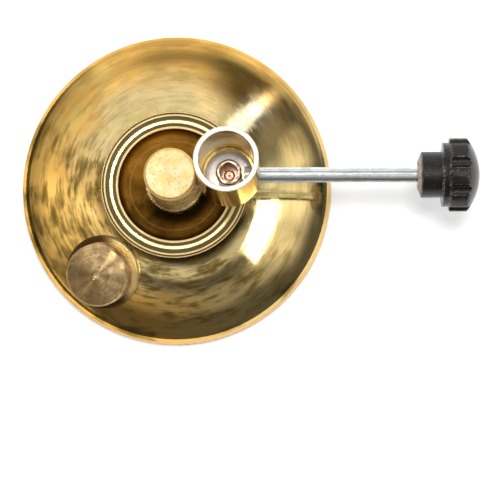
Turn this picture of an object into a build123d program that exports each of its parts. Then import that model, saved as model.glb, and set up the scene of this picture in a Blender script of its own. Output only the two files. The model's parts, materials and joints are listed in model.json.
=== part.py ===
from build123d import *
from math import asin, cos, degrees, radians, sin, sqrt
import os

# A seated alcohol blowlamp, in millimetres. +Z is up and the origin is the middle of the foot.
# The tank, the bowl and the riser stand on the Z axis, the flame tube stands beside them in +X,
# and the rod and its knob lie along +X.

# Tank
sheet = 1.0
side_height = 11.5
shoulder_rise = 9.0
wall_lean = 0.4
land_margin = 1.4
shoulder_margin = 2.6
shoulder_fillet = 5.5
base_thickness = 1.2
hem_reach = 0.1
hem_fillet = 0.5
upstand_thickness = 1.0
upstand_height = 2.5

# Clearances
fit_gap = 0.05
solder_gap = 0.15
running_gap = 0.1
body_gap = 0.3
overrun = 2.0

# Riser, its socket and its collar
socket_wall = 2.5
socket_flange_reach = 4.0
socket_flange_thickness = 1.5
socket_tail = 2.5
socket_stand = 3.3
gasket_thickness = 0.8
ledge_thickness = 1.2
ledge_set_back = 0.9
collar_wall = 1.3
collar_grip = 3.5
collar_chamfer = 0.6
riser_radius = 10.5
riser_wall = 1.5
riser_margin = 1.5
riser_cap_height = 2.5
riser_spigot = 3.0
riser_cap_fillet = 1.2

# Wick
wick_guide_wall = 0.4
wick_guide_foot = 7.0
wick_guide_recess = 0.4
strand_gap = 0.1
strand_count = 6
wick_foot_gap = 1.0
wick_drop = 10.5

# Preheating bowl
bowl_thickness = 1.2
bowl_inner_radius = 22.8
bowl_foot_wall = 1.8
bowl_corner = 2.2
bowl_rim_height = 5.2
rim_thickness = 1.2
flare_inset = 1.9
flare_sag = 1.3
bead_lip = 0.3
inner_bead_width = 1.3
inner_groove_width = 1.0
middle_bead_width = 1.6
outer_groove_width = 1.35
outer_bead_width = 1.05
edge_groove_width = 0.35
edge_bead_width = 0.65
bead_groove = 0.5
bead_slope = 0.2
floor_groove_inset = 1.8
floor_groove_width = 0.7
floor_groove_depth = 0.12

# Flame tube and burner body
flame_radius = 12.4
flame_wall = 2.0
burner_rise = 34.0
flame_length = 51.5
rim_chamfer = 0.2
flat_depth = 1.2
flat_margin = 1.0
burner_round = 5.0
burner_floor = 2.0
cavity_fillet = 1.0
port_radius = 1.3
port_count = 6

# Jet holder, jet and its washer
holder_bore = 3.7
holder_wall = 1.4
holder_height = 14.5
holder_spigot_radius = 3.2
holder_spigot = 1.6
holder_step = 1.3
holder_chamfer = 0.4
cross_hole_radius = 1.2
cross_hole_drop = 4.5
cross_hole_count = 4
vapour_bore = 1.6
washer_thickness = 0.5
jet_height = 1.5
jet_skin = 0.5
pinhole_radius = 0.25
jet_groove_radius = 1.9
jet_groove_width = 0.3
jet_groove_depth = 0.2

# Elbow that leads the vapour from the riser to the jet
elbow_radius = 3.2
elbow_bore = 1.8
elbow_drop = 5.0
elbow_bend = 4.8

# Braze between the riser and the flame tube
braze_gap = 0.5
braze_half_width = 3.6
braze_drop = 2.0
braze_height = 7.0
braze_bite = 1.0

# Air sleeve and the nut inside it
sleeve_wall = 1.0
sleeve_floor = 1.0
sleeve_height = 11.5
sleeve_chamfer = 1.2
sleeve_fillet = 1.4
nut_radius = 3.4
nut_gap = 0.9
slide_travel = 12.0

# Rod, knob and the knob's insert
rod_rise = 5.7
rod_radius = 3.0
spigot_radius = 1.95
spigot_tip_gap = 0.5
slot_gap = 0.25
rod_chamfer = 0.4
rod_length = 63.3
hub_radius = 9.15
hub_length = 9.7
hub_end_height = 1.5
hub_end_reach = 3.6
flange_radius = 12.8
flange_length = 2.6
knob_radius = 14.6
skirt_length = 6.9
dome_length = 5.4
dome_bevel = 0.7
knob_edge_chamfer = 0.4
flute_count = 8
flute_radius = 2.5
flute_offset = 0.9
flute_turn = 31.6
insert_radius = 4.0
insert_length = 11.0
insert_recess = 0.4
thread_radius = 2.5
thread_length = 9.5

# Filler on the shoulder
filler_azimuth = 230.3
filler_gap = 0.6
boss_margin = 2.6
boss_height = 2.0
boss_root = 1.9
boss_chamfer = 0.8
neck_bore = 8.0
neck_wall = 2.2
neck_height = 7.0
neck_groove = 0.5
neck_pitch = 1.5
neck_first_groove = 1.6
neck_groove_count = 3
cap_thread_gap = 0.6
cap_wall = 2.1
cap_height = 9.7
cap_top_thickness = 1.8
cap_chamfer = 0.7
cap_mark_radius = 2.1
cap_mark_depth = 0.35
cap_gasket_thickness = 1.0
cap_gasket_gap = 0.15

# Bowl rings, counted outwards, and the filler that stands between the bowl's rim and the shoulder's edge
bowl_floor_radius = bowl_inner_radius - bowl_corner
floor_groove_radius = bowl_floor_radius - floor_groove_inset
bowl_foot_radius = bowl_inner_radius + bowl_foot_wall
inner_bead_start = bowl_inner_radius + bead_lip
inner_bead_end = inner_bead_start + inner_bead_width
middle_bead_start = inner_bead_end + inner_groove_width
middle_bead_end = middle_bead_start + middle_bead_width
outer_bead_start = middle_bead_end + outer_groove_width
outer_bead_end = outer_bead_start + outer_bead_width
edge_bead_start = outer_bead_end + edge_groove_width
edge_bead_end = edge_bead_start + edge_bead_width
neck_radius = neck_bore + neck_wall
cap_bore = neck_radius + cap_thread_gap
cap_radius = cap_bore + cap_wall
boss_radius = cap_radius + boss_margin
filler_radius = edge_bead_end + filler_gap + boss_radius

# Tank, as wide as the bowl and the filler need
top_height = side_height + shoulder_rise
land_radius = bowl_foot_radius + land_margin
shoulder_radius = filler_radius + boss_radius + shoulder_margin
foot_radius = shoulder_radius + wall_lean
shoulder_reach = shoulder_radius - land_radius
dome_radius = (shoulder_reach**2 + shoulder_rise**2) / (2 * shoulder_rise)
dome_centre = top_height - dome_radius
sheet_underside = top_height - sheet

# Socket, as wide as the riser's bore, and the heights above the tank
riser_bore = riser_radius - riser_wall
socket_radius = riser_bore
socket_bore = socket_radius - socket_wall
socket_flange_radius = socket_radius + socket_flange_reach
ledge_bore = socket_bore + ledge_set_back
socket_hole = socket_radius + running_gap
bowl_floor = top_height + bowl_thickness
bowl_rim = top_height + bowl_rim_height
socket_top = bowl_floor + socket_stand

# Riser, burner and jet, from the seat of the flame tube
flame_seat = top_height + burner_rise
gasket_top = socket_top + gasket_thickness
riser_foot = gasket_top + ledge_thickness
collar_radius = riser_radius + collar_wall
braze_foot = flame_seat - braze_drop
riser_top = braze_foot + braze_height + riser_margin
riser_shoulder = riser_top - riser_cap_height
flame_x = riser_radius + braze_gap + flame_radius
flame_top = flame_seat + flame_length
flame_bore = flame_radius - flame_wall
flat_distance = flame_radius - flat_depth
burner_foot = flame_seat - burner_round
burner_inside = burner_foot + burner_floor
holder_radius = holder_bore + holder_wall
holder_top = burner_inside + holder_height
jet_seat = burner_inside + holder_step
jet_foot = jet_seat + washer_thickness
jet_radius = holder_bore - fit_gap
elbow_height = burner_foot - elbow_drop

# Sleeve, rod and knob
sleeve_radius = flame_bore - running_gap
sleeve_foot = burner_inside + body_gap
sleeve_bore = sleeve_radius - sleeve_wall
nut_inset = holder_radius + nut_gap
rod_height = sleeve_foot + rod_rise
rod_shoulder_x = flame_x + flat_distance + running_gap
spigot_tip_x = flame_x + nut_inset + spigot_tip_gap
knob_x = rod_shoulder_x + rod_length
flange_x = knob_x + hub_length
skirt_x = flange_x + flange_length
dome_x = skirt_x + skirt_length
knob_end_x = dome_x + dome_length


def dome_height(radius, depth=0.0):
    """Height of the shoulder's outer face, or of a face that lies depth inside it."""
    reach = radius - land_radius
    return dome_centre + sqrt((dome_radius - depth) ** 2 - reach**2)


# Planes and axes of the four groups of turned pieces
filler_slope = degrees(asin((filler_radius - land_radius) / dome_radius))
tank_plane = Plane.XZ
tank_axis = Axis.Z
flame_plane = Plane(origin=(flame_x, 0, 0), x_dir=(1, 0, 0), z_dir=(0, -1, 0))
flame_axis = Axis((flame_x, 0, 0), (0, 0, 1))
rod_plane = Plane(origin=(0, 0, rod_height), x_dir=(1, 0, 0), z_dir=(0, -1, 0))
rod_axis = Axis((0, 0, rod_height), (1, 0, 0))
outward = Vector(cos(radians(filler_azimuth)), sin(radians(filler_azimuth)), 0)
sideways = Vector(-sin(radians(filler_azimuth)), cos(radians(filler_azimuth)), 0)
filler_up = outward * sin(radians(filler_slope)) + Vector(0, 0, 1) * cos(radians(filler_slope))
filler_seat = outward * filler_radius + Vector(0, 0, 1) * dome_height(filler_radius)
filler_plane = Plane(origin=filler_seat, x_dir=sideways, z_dir=sideways.cross(filler_up))
filler_axis = Axis(filler_seat, filler_up)
filler_top_plane = Plane(origin=filler_seat, x_dir=sideways, z_dir=filler_up)

os.makedirs("parts", exist_ok=True)

# Tank shell: a slightly drawn-in side wall and a convex shoulder that ends in a flat land
inner_shoulder_radius = shoulder_radius - sheet
middle_radius = (shoulder_radius + land_radius) / 2
with BuildPart() as tank_shell:
    with BuildSketch(tank_plane):
        with BuildLine():
            Polyline(
                (socket_hole, top_height),
                (socket_hole, sheet_underside),
                (land_radius, sheet_underside),
            )
            ThreePointArc(
                (land_radius, sheet_underside),
                (middle_radius, dome_height(middle_radius, sheet)),
                (inner_shoulder_radius, dome_height(inner_shoulder_radius, sheet)),
            )
            Polyline(
                (inner_shoulder_radius, dome_height(inner_shoulder_radius, sheet)),
                (foot_radius - sheet, base_thickness),
                (foot_radius, base_thickness),
                (shoulder_radius, side_height),
            )
            ThreePointArc(
                (shoulder_radius, side_height),
                (middle_radius, dome_height(middle_radius)),
                (land_radius, top_height),
            )
            Line((land_radius, top_height), (socket_hole, top_height))
        make_face()
    revolve(axis=tank_axis)
    for radius, bend in ((shoulder_radius, shoulder_fillet), (inner_shoulder_radius, shoulder_fillet - sheet)):
        rings = edges().filter_by(GeomType.CIRCLE)
        fillet(rings.filter_by(lambda ring: abs(ring.radius - radius) < fit_gap), bend)
    with BuildSketch(filler_top_plane.offset(-boss_height)):
        Circle(neck_bore)
    extrude(amount=boss_height + overrun, mode=Mode.SUBTRACT)
tank_shell.part.label = "tank_shell"
export_step(tank_shell.part, "parts/tank_shell.step")

# Base plate: a flat disc with a small hem outside the shell and an upstand inside it
upstand_lean = wall_lean * upstand_height / side_height
upstand_radius = foot_radius - sheet - solder_gap - upstand_lean
with BuildPart() as base_plate:
    with BuildSketch():
        Circle(foot_radius + hem_reach)
    extrude(amount=base_thickness)
    fillet(edges(), hem_fillet)
    with BuildSketch(Plane.XY.offset(base_thickness)):
        Circle(upstand_radius)
        Circle(upstand_radius - upstand_thickness, mode=Mode.SUBTRACT)
    extrude(amount=upstand_height)
base_plate.part.label = "base_plate"
export_step(base_plate.part, "parts/base_plate.step")

# Filler boss: a round seat that follows the shoulder, with a threaded neck drawn as grooves
thread_grooves = [neck_first_groove + turn * neck_pitch for turn in range(neck_groove_count)]
boss_top = boss_height
neck_top = boss_top + neck_height
neck_outline = [(neck_radius, boss_top)]
for groove in thread_grooves:
    neck_outline += [
        (neck_radius, boss_top + groove),
        (neck_radius - neck_groove, boss_top + groove + neck_pitch / 4),
        (neck_radius, boss_top + groove + neck_pitch / 2),
    ]
with BuildPart() as tank_outside:
    with BuildSketch(tank_plane):
        with BuildLine():
            Polyline((land_radius, top_height), (0, top_height), (0, base_thickness), (foot_radius, base_thickness))
            Line((foot_radius, base_thickness), (shoulder_radius, side_height))
            ThreePointArc(
                (shoulder_radius, side_height),
                (middle_radius, dome_height(middle_radius)),
                (land_radius, top_height),
            )
        make_face()
    revolve(axis=tank_axis)
    rings = edges().filter_by(GeomType.CIRCLE)
    fillet(rings.filter_by(lambda ring: abs(ring.radius - shoulder_radius) < fit_gap), shoulder_fillet)
with BuildPart() as filler_boss:
    with BuildSketch(filler_plane):
        with BuildLine():
            Polyline(
                (neck_bore, -boss_root),
                (boss_radius, -boss_root),
                (boss_radius, boss_top - boss_chamfer),
                (boss_radius - boss_chamfer, boss_top),
                *neck_outline,
                (neck_radius, neck_top),
                (neck_bore, neck_top),
                close=True,
            )
        make_face()
    revolve(axis=filler_axis)
    add(tank_outside.part, mode=Mode.SUBTRACT)
filler_boss.part.label = "filler_boss"
export_step(filler_boss.part, "parts/filler_boss.step")

# Filler cap: a turned cap that clears the neck, with a shallow lathe mark in its top
cap_foot = boss_top + body_gap
cap_inside = cap_foot + cap_height - cap_top_thickness
with BuildPart() as filler_cap:
    with BuildSketch(filler_plane):
        with BuildLine():
            Polyline(
                (0, cap_inside),
                (cap_bore, cap_inside),
                (cap_bore, cap_foot),
                (cap_radius, cap_foot),
                (cap_radius, cap_foot + cap_height - cap_chamfer),
                (cap_radius - cap_chamfer, cap_foot + cap_height),
                (cap_mark_radius, cap_foot + cap_height),
                (0, cap_foot + cap_height - cap_mark_depth),
                close=True,
            )
        make_face()
    revolve(axis=filler_axis)
filler_cap.part.label = "filler_cap"
export_step(filler_cap.part, "parts/filler_cap.step")

# Cap gasket: a disc between the neck's lip and the cap's inside
with BuildPart() as cap_gasket:
    with BuildSketch(filler_top_plane.offset(cap_inside - cap_gasket_gap - cap_gasket_thickness)):
        Circle(cap_bore - body_gap)
    extrude(amount=cap_gasket_thickness)
cap_gasket.part.label = "cap_gasket"
export_step(cap_gasket.part, "parts/cap_gasket.step")

# Preheating bowl: flat floor, curved wall, and flat beads round the rim with a thin one at its edge
rim_underside = bowl_rim - rim_thickness
groove_floor = bowl_rim - bead_groove


def bead(start, end):
    """Outline of one bead of the rim, from its outer foot to its inner foot."""
    return [
        (end, groove_floor),
        (end - bead_slope, bowl_rim),
        (start + bead_slope, bowl_rim),
        (start, groove_floor),
    ]


with BuildPart() as preheat_bowl:
    with BuildSketch(tank_plane):
        with BuildLine():
            Polyline(
                (socket_hole, bowl_floor),
                (socket_hole, top_height),
                (bowl_foot_radius, top_height),
            )
            ThreePointArc(
                (bowl_foot_radius, top_height),
                (bowl_foot_radius + flare_inset, rim_underside - flare_sag),
                (edge_bead_end, rim_underside),
            )
            Polyline(
                (edge_bead_end, rim_underside),
                *bead(edge_bead_start, edge_bead_end),
                *bead(outer_bead_start, outer_bead_end),
                *bead(middle_bead_start, middle_bead_end),
                *bead(inner_bead_start, inner_bead_end),
            )
            TangentArc(
                (bowl_floor_radius, bowl_floor),
                (inner_bead_start, groove_floor),
                tangent=(1, 0),
            )
            Polyline(
                (bowl_floor_radius, bowl_floor),
                (floor_groove_radius + floor_groove_width / 2, bowl_floor),
                (floor_groove_radius, bowl_floor - floor_groove_depth),
                (floor_groove_radius - floor_groove_width / 2, bowl_floor),
                (socket_hole, bowl_floor),
            )
        make_face()
    revolve(axis=tank_axis)
preheat_bowl.part.label = "preheat_bowl"
export_step(preheat_bowl.part, "parts/preheat_bowl.step")

# Riser socket: flanged under the tank's top, threaded above it
flange_foot = sheet_underside - socket_flange_thickness
with BuildPart() as riser_socket:
    with BuildSketch(tank_plane):
        with BuildLine():
            Polyline(
                (socket_bore, flange_foot - socket_tail),
                (socket_radius, flange_foot - socket_tail),
                (socket_radius, flange_foot),
                (socket_flange_radius, flange_foot),
                (socket_flange_radius, sheet_underside),
                (socket_radius, sheet_underside),
                (socket_radius, socket_top),
                (socket_bore, socket_top),
                close=True,
            )
        make_face()
    revolve(axis=tank_axis)
riser_socket.part.label = "riser_socket"
export_step(riser_socket.part, "parts/riser_socket.step")

# Socket gasket: the ring that seals the collar's ledge on the socket
with BuildPart() as socket_gasket:
    with BuildSketch(Plane.XY.offset(socket_top)):
        Circle(socket_radius)
        Circle(socket_bore, mode=Mode.SUBTRACT)
    extrude(amount=gasket_thickness)
socket_gasket.part.label = "socket_gasket"
export_step(socket_gasket.part, "parts/socket_gasket.step")

# Riser collar: clamps the bowl, presses on the gasket with its ledge and holds the riser above it
with BuildPart() as riser_collar:
    with BuildSketch(tank_plane):
        with BuildLine():
            Polyline(
                (socket_radius + fit_gap, bowl_floor),
                (collar_radius, bowl_floor),
                (collar_radius, riser_foot + collar_grip - collar_chamfer),
                (collar_radius - collar_chamfer, riser_foot + collar_grip),
                (riser_radius + fit_gap, riser_foot + collar_grip),
                (riser_radius + fit_gap, riser_foot),
                (ledge_bore, riser_foot),
                (ledge_bore, gasket_top),
                (socket_radius + fit_gap, gasket_top),
                close=True,
            )
        make_face()
    revolve(axis=tank_axis)
riser_collar.part.label = "riser_collar"
export_step(riser_collar.part, "parts/riser_collar.step")

# Riser tube, with the hole that lets the vapour out into the elbow
with BuildPart() as riser_tube:
    with BuildSketch(Plane.XY.offset(riser_foot)):
        Circle(riser_radius)
        Circle(riser_bore, mode=Mode.SUBTRACT)
    extrude(amount=riser_shoulder - riser_foot)
    with BuildSketch(Plane.YZ):
        with Locations((0, elbow_height)):
            Circle(elbow_bore)
    extrude(amount=riser_radius + overrun, mode=Mode.SUBTRACT)
riser_tube.part.label = "riser_tube"
export_step(riser_tube.part, "parts/riser_tube.step")

# Riser cap: a plug whose spigot stands in the tube
with BuildPart() as riser_cap:
    with BuildSketch(Plane.XY.offset(riser_shoulder)):
        Circle(riser_radius)
    extrude(amount=riser_cap_height)
    fillet(edges().group_by(Axis.Z)[-1], riser_cap_fillet)
    with BuildSketch(Plane.XY.offset(riser_shoulder - riser_spigot)):
        Circle(riser_bore - fit_gap)
    extrude(amount=riser_spigot)
riser_cap.part.label = "riser_cap"
export_step(riser_cap.part, "parts/riser_cap.step")

# Wick guide: a thin tube pressed into the socket, open near the tank's floor
guide_radius = socket_bore - fit_gap
guide_bore = guide_radius - wick_guide_wall
with BuildPart() as wick_guide:
    with BuildSketch(Plane.XY.offset(wick_guide_foot)):
        Circle(guide_radius)
        Circle(guide_bore, mode=Mode.SUBTRACT)
    extrude(amount=socket_top - wick_guide_recess - wick_guide_foot)
wick_guide.part.label = "wick_guide"
export_step(wick_guide.part, "parts/wick_guide.step")

# Wick: a middle strand with a ring of strands round it
strand_radius = (guide_bore - strand_gap) / 3 - strand_gap / 2
strand_circle = guide_bore - strand_gap - strand_radius
wick_foot = base_thickness + wick_foot_gap
wick_top = riser_shoulder - wick_drop
with BuildPart() as wick:
    with BuildSketch(Plane.XY.offset(wick_foot)):
        Circle(strand_radius)
        with PolarLocations(strand_circle, strand_count):
            Circle(strand_radius)
    extrude(amount=wick_top - wick_foot)
wick.part.label = "wick"
export_step(wick.part, "parts/wick.step")

# Vapour bridge: an elbow from the riser's side up into the burner body
elbow_start_x = riser_radius - braze_bite
with BuildLine() as elbow_path:
    Line((elbow_start_x, 0, elbow_height), (flame_x - elbow_bend, 0, elbow_height))
    TangentArc(
        (flame_x - elbow_bend, 0, elbow_height),
        (flame_x, 0, elbow_height + elbow_bend),
        tangent=(1, 0, 0),
    )
    Line((flame_x, 0, elbow_height + elbow_bend), (flame_x, 0, burner_foot))
with BuildPart() as vapour_bridge:
    with BuildSketch(Plane(origin=(elbow_start_x, 0, elbow_height), z_dir=(1, 0, 0))):
        Circle(elbow_radius)
        Circle(elbow_bore, mode=Mode.SUBTRACT)
    sweep(path=elbow_path.line)
    with BuildSketch(Plane.XY.offset(elbow_height - elbow_radius - overrun)):
        Circle(riser_radius)
    extrude(amount=2 * (elbow_radius + overrun), mode=Mode.SUBTRACT)
vapour_bridge.part.label = "vapour_bridge"
export_step(vapour_bridge.part, "parts/vapour_bridge.step")

# Space cut away beside the flat that the rod's shoulder bears on, up to above the raised rod
flat_height = rod_height + slide_travel + rod_radius + flat_margin - flame_seat
with BuildPart() as rod_flat:
    with BuildSketch(Plane.YZ.offset(flame_x + flat_distance)):
        with Locations((0, flame_seat)):
            Rectangle(2 * flame_radius, 2 * flat_height)
    extrude(amount=flame_radius)

# Burner body: a cup with a rounded foot, air ports in its floor and a bore for the jet holder
port_circle = (holder_radius + flame_bore) / 2
with BuildPart() as burner_body:
    with BuildSketch(flame_plane):
        with BuildLine():
            Polyline(
                (flame_bore, flame_seat),
                (flame_bore, burner_inside),
                (holder_spigot_radius + fit_gap, burner_inside),
                (holder_spigot_radius + fit_gap, burner_inside - holder_spigot),
                (vapour_bore, burner_inside - holder_spigot),
                (vapour_bore, burner_foot),
                (flame_radius - burner_round, burner_foot),
            )
            RadiusArc(
                (flame_radius - burner_round, burner_foot),
                (flame_radius, flame_seat),
                -burner_round,
            )
            Line((flame_radius, flame_seat), (flame_bore, flame_seat))
        make_face()
    revolve(axis=flame_axis)
    rings = edges().filter_by(GeomType.CIRCLE)
    bore_rings = rings.filter_by(lambda ring: abs(ring.radius - flame_bore) < fit_gap)
    fillet(bore_rings.sort_by(Axis.Z)[0], cavity_fillet)
    with BuildSketch(Plane(origin=(flame_x, 0, burner_inside + overrun), z_dir=(0, 0, 1))):
        with PolarLocations(port_circle, port_count):
            Circle(port_radius)
    extrude(amount=-(burner_floor + 2 * overrun), mode=Mode.SUBTRACT)
    add(rod_flat.part, mode=Mode.SUBTRACT)
burner_body.part.label = "burner_body"
export_step(burner_body.part, "parts/burner_body.step")

# Flame tube: open at the top, with a flat and an upright slot for the rod
slot_width = 2 * (spigot_radius + slot_gap)
with BuildPart() as flame_tube:
    with BuildSketch(Plane(origin=(flame_x, 0, flame_seat), z_dir=(0, 0, 1))):
        Circle(flame_radius)
        Circle(flame_bore, mode=Mode.SUBTRACT)
    extrude(amount=flame_top - flame_seat)
    chamfer(edges().group_by(Axis.Z)[-1], rim_chamfer)
    add(rod_flat.part, mode=Mode.SUBTRACT)
    with BuildSketch(Plane.YZ.offset(flame_x + flame_bore / 2)):
        with Locations((0, rod_height + slide_travel / 2)):
            SlotOverall(slide_travel + slot_width, slot_width, rotation=90)
    extrude(amount=flame_radius, mode=Mode.SUBTRACT)
flame_tube.part.label = "flame_tube"
export_step(flame_tube.part, "parts/flame_tube.step")

# Braze joint: fills the narrow gap between the riser and the flame tube
braze_start_x = riser_radius - braze_bite
braze_end_x = flame_x - flame_radius + braze_bite
with BuildPart() as braze_joint:
    with BuildSketch(Plane.XY.offset(braze_foot)):
        with Locations(((braze_start_x + braze_end_x) / 2, 0)):
            Rectangle(braze_end_x - braze_start_x, 2 * braze_half_width)
        Circle(riser_radius, mode=Mode.SUBTRACT)
        with Locations((flame_x, 0)):
            Circle(flame_radius, mode=Mode.SUBTRACT)
    extrude(amount=braze_height)
braze_joint.part.label = "braze_joint"
export_step(braze_joint.part, "parts/braze_joint.step")

# Jet holder: an upright tube with a step for the jet and cross holes near its top
with BuildPart() as jet_holder:
    with BuildSketch(flame_plane):
        with BuildLine():
            Polyline(
                (vapour_bore, burner_inside - holder_spigot),
                (holder_spigot_radius, burner_inside - holder_spigot),
                (holder_spigot_radius, burner_inside),
                (holder_radius, burner_inside),
                (holder_radius, holder_top - holder_chamfer),
                (holder_radius - holder_chamfer, holder_top),
                (holder_bore, holder_top),
                (holder_bore, jet_seat),
                (vapour_bore, jet_seat),
                close=True,
            )
        make_face()
    revolve(axis=flame_axis)
    for turn in range(cross_hole_count):
        hole_direction = Vector(1, 0, 0).rotate(Axis.Z, 360 / cross_hole_count * turn)
        with BuildSketch(Plane(origin=(flame_x, 0, holder_top - cross_hole_drop), z_dir=hole_direction)):
            Circle(cross_hole_radius)
        extrude(amount=holder_radius + overrun, mode=Mode.SUBTRACT)
jet_holder.part.label = "jet_holder"
export_step(jet_holder.part, "parts/jet_holder.step")

# Jet washer: the seal under the jet
with BuildPart() as jet_washer:
    with BuildSketch(Plane(origin=(flame_x, 0, jet_seat), z_dir=(0, 0, 1))):
        Circle(jet_radius)
        Circle(vapour_bore, mode=Mode.SUBTRACT)
    extrude(amount=washer_thickness)
jet_washer.part.label = "jet_washer"
export_step(jet_washer.part, "parts/jet_washer.step")

# Jet: a copper nipple with a pinhole, hollow below, and a turned ring in its face
jet_top = jet_foot + jet_height
with BuildPart() as jet:
    with BuildSketch(flame_plane):
        with BuildLine():
            Polyline(
                (pinhole_radius, jet_top),
                (pinhole_radius, jet_top - jet_skin),
                (vapour_bore, jet_top - jet_skin),
                (vapour_bore, jet_foot),
                (jet_radius, jet_foot),
                (jet_radius, jet_top),
                (jet_groove_radius + jet_groove_width, jet_top),
                (jet_groove_radius, jet_top - jet_groove_depth),
                (jet_groove_radius - jet_groove_width, jet_top),
                close=True,
            )
        make_face()
    revolve(axis=flame_axis)
jet.part.label = "jet"
export_step(jet.part, "parts/jet.step")

# Air sleeve: a cup that slides in the flame tube, bored for the jet holder and for the rod
sleeve_top = sleeve_foot + sleeve_height
with BuildPart() as sleeve_inside:
    with BuildSketch(Plane(origin=(flame_x, 0, sleeve_foot + sleeve_floor), z_dir=(0, 0, 1))):
        Circle(sleeve_bore)
    extrude(amount=sleeve_height - sleeve_floor)
    fillet(edges().group_by(Axis.Z)[0], sleeve_fillet)
with BuildPart() as air_sleeve:
    with BuildSketch(flame_plane):
        with BuildLine():
            Polyline(
                (holder_radius + body_gap, sleeve_foot),
                (sleeve_radius - sleeve_chamfer, sleeve_foot),
                (sleeve_radius, sleeve_foot + sleeve_chamfer),
                (sleeve_radius, sleeve_top),
                (holder_radius + body_gap, sleeve_top),
                close=True,
            )
        make_face()
    revolve(axis=flame_axis)
    add(sleeve_inside.part, mode=Mode.SUBTRACT)
    with BuildSketch(Plane.YZ.offset(flame_x)):
        with Locations((0, rod_height)):
            Circle(spigot_radius + slot_gap)
    extrude(amount=flame_radius, mode=Mode.SUBTRACT)
air_sleeve.part.label = "air_sleeve"
export_step(air_sleeve.part, "parts/air_sleeve.step")

# Rod nut: a round pad inside the sleeve, cut to the sleeve's inside
with BuildPart() as rod_nut:
    with BuildSketch(Plane.YZ.offset(flame_x + nut_inset)):
        with Locations((0, rod_height)):
            Circle(nut_radius)
            Circle(spigot_radius + running_gap, mode=Mode.SUBTRACT)
    extrude(amount=sleeve_bore - nut_inset + fit_gap)
    add(sleeve_inside.part, mode=Mode.INTERSECT)
rod_nut.part.label = "rod_nut"
export_step(rod_nut.part, "parts/rod_nut.step")

# Adjusting rod: a thin spigot through the slot, the shoulder that clamps, and a threaded far end
thread_start_x = knob_x + insert_recess
with BuildPart() as adjusting_rod:
    with BuildSketch(rod_plane):
        with BuildLine():
            Polyline(
                (spigot_tip_x, 0),
                (spigot_tip_x, spigot_radius - rod_chamfer),
                (spigot_tip_x + rod_chamfer, spigot_radius),
                (rod_shoulder_x, spigot_radius),
                (rod_shoulder_x, rod_radius - rod_chamfer),
                (rod_shoulder_x + rod_chamfer, rod_radius),
                (knob_x - fit_gap, rod_radius),
                (knob_x - fit_gap, thread_radius),
                (thread_start_x + thread_length - rod_chamfer, thread_radius),
                (thread_start_x + thread_length, thread_radius - rod_chamfer),
                (thread_start_x + thread_length, 0),
                close=True,
            )
        make_face()
    revolve(axis=rod_axis)
adjusting_rod.part.label = "adjusting_rod"
export_step(adjusting_rod.part, "parts/adjusting_rod.step")

# Knob: hub with a tapered end, stepped back and a domed head with round flutes
insert_end_x = thread_start_x + insert_length
with BuildPart() as knob:
    with BuildSketch(rod_plane):
        with BuildLine():
            Polyline(
                (insert_end_x, 0),
                (insert_end_x, insert_radius + fit_gap),
                (knob_x, insert_radius + fit_gap),
                (knob_x, hub_radius - hub_end_reach),
                (knob_x + hub_end_height, hub_radius),
                (flange_x, hub_radius),
                (flange_x, flange_radius),
                (skirt_x, flange_radius),
                (skirt_x, knob_radius - knob_edge_chamfer),
                (skirt_x + knob_edge_chamfer, knob_radius),
                (dome_x, knob_radius),
                (dome_x + dome_bevel, knob_radius - dome_bevel),
            )
            TangentArc(
                (knob_end_x, 0),
                (dome_x + dome_bevel, knob_radius - dome_bevel),
                tangent=(0, 1),
            )
            Line((knob_end_x, 0), (insert_end_x, 0))
        make_face()
    revolve(axis=rod_axis)
    with BuildSketch(Plane(origin=(skirt_x, 0, rod_height), x_dir=(0, 1, 0), z_dir=(1, 0, 0))):
        with PolarLocations(knob_radius + flute_offset, flute_count, start_angle=flute_turn):
            Circle(flute_radius)
    extrude(amount=knob_end_x - skirt_x, mode=Mode.SUBTRACT)
knob.part.label = "knob"
export_step(knob.part, "parts/knob.step")

# Knob insert: the threaded bush moulded into the hub
with BuildPart() as knob_insert:
    with BuildSketch(rod_plane):
        with BuildLine():
            Polyline(
                (knob_x, thread_radius + fit_gap),
                (knob_x, insert_radius),
                (insert_end_x, insert_radius),
                (insert_end_x, 0),
                (thread_start_x + thread_length + fit_gap, 0),
                (thread_start_x + thread_length + fit_gap, thread_radius + fit_gap),
                close=True,
            )
        make_face()
    revolve(axis=rod_axis)
knob_insert.part.label = "knob_insert"
export_step(knob_insert.part, "parts/knob_insert.step")
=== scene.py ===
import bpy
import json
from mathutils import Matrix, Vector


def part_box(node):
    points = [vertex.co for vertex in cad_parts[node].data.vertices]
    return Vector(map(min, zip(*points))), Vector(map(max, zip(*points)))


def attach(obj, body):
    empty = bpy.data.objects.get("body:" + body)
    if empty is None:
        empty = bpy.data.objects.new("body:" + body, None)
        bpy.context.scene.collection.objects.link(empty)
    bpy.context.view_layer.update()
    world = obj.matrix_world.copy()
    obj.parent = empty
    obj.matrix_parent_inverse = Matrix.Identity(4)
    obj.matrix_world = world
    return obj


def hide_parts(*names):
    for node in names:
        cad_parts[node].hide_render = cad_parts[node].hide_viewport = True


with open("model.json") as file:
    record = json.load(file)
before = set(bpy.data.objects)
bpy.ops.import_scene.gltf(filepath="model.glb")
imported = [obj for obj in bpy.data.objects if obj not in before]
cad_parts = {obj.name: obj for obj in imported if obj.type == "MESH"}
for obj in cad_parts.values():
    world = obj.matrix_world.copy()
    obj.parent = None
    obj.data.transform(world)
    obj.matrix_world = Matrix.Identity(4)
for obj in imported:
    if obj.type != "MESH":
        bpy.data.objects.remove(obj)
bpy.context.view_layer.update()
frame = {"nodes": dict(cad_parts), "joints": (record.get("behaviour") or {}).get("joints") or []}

import json
from math import asin, cos, pi, radians, sin

import bpy
from mathutils import Matrix, Vector, noise

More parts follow.
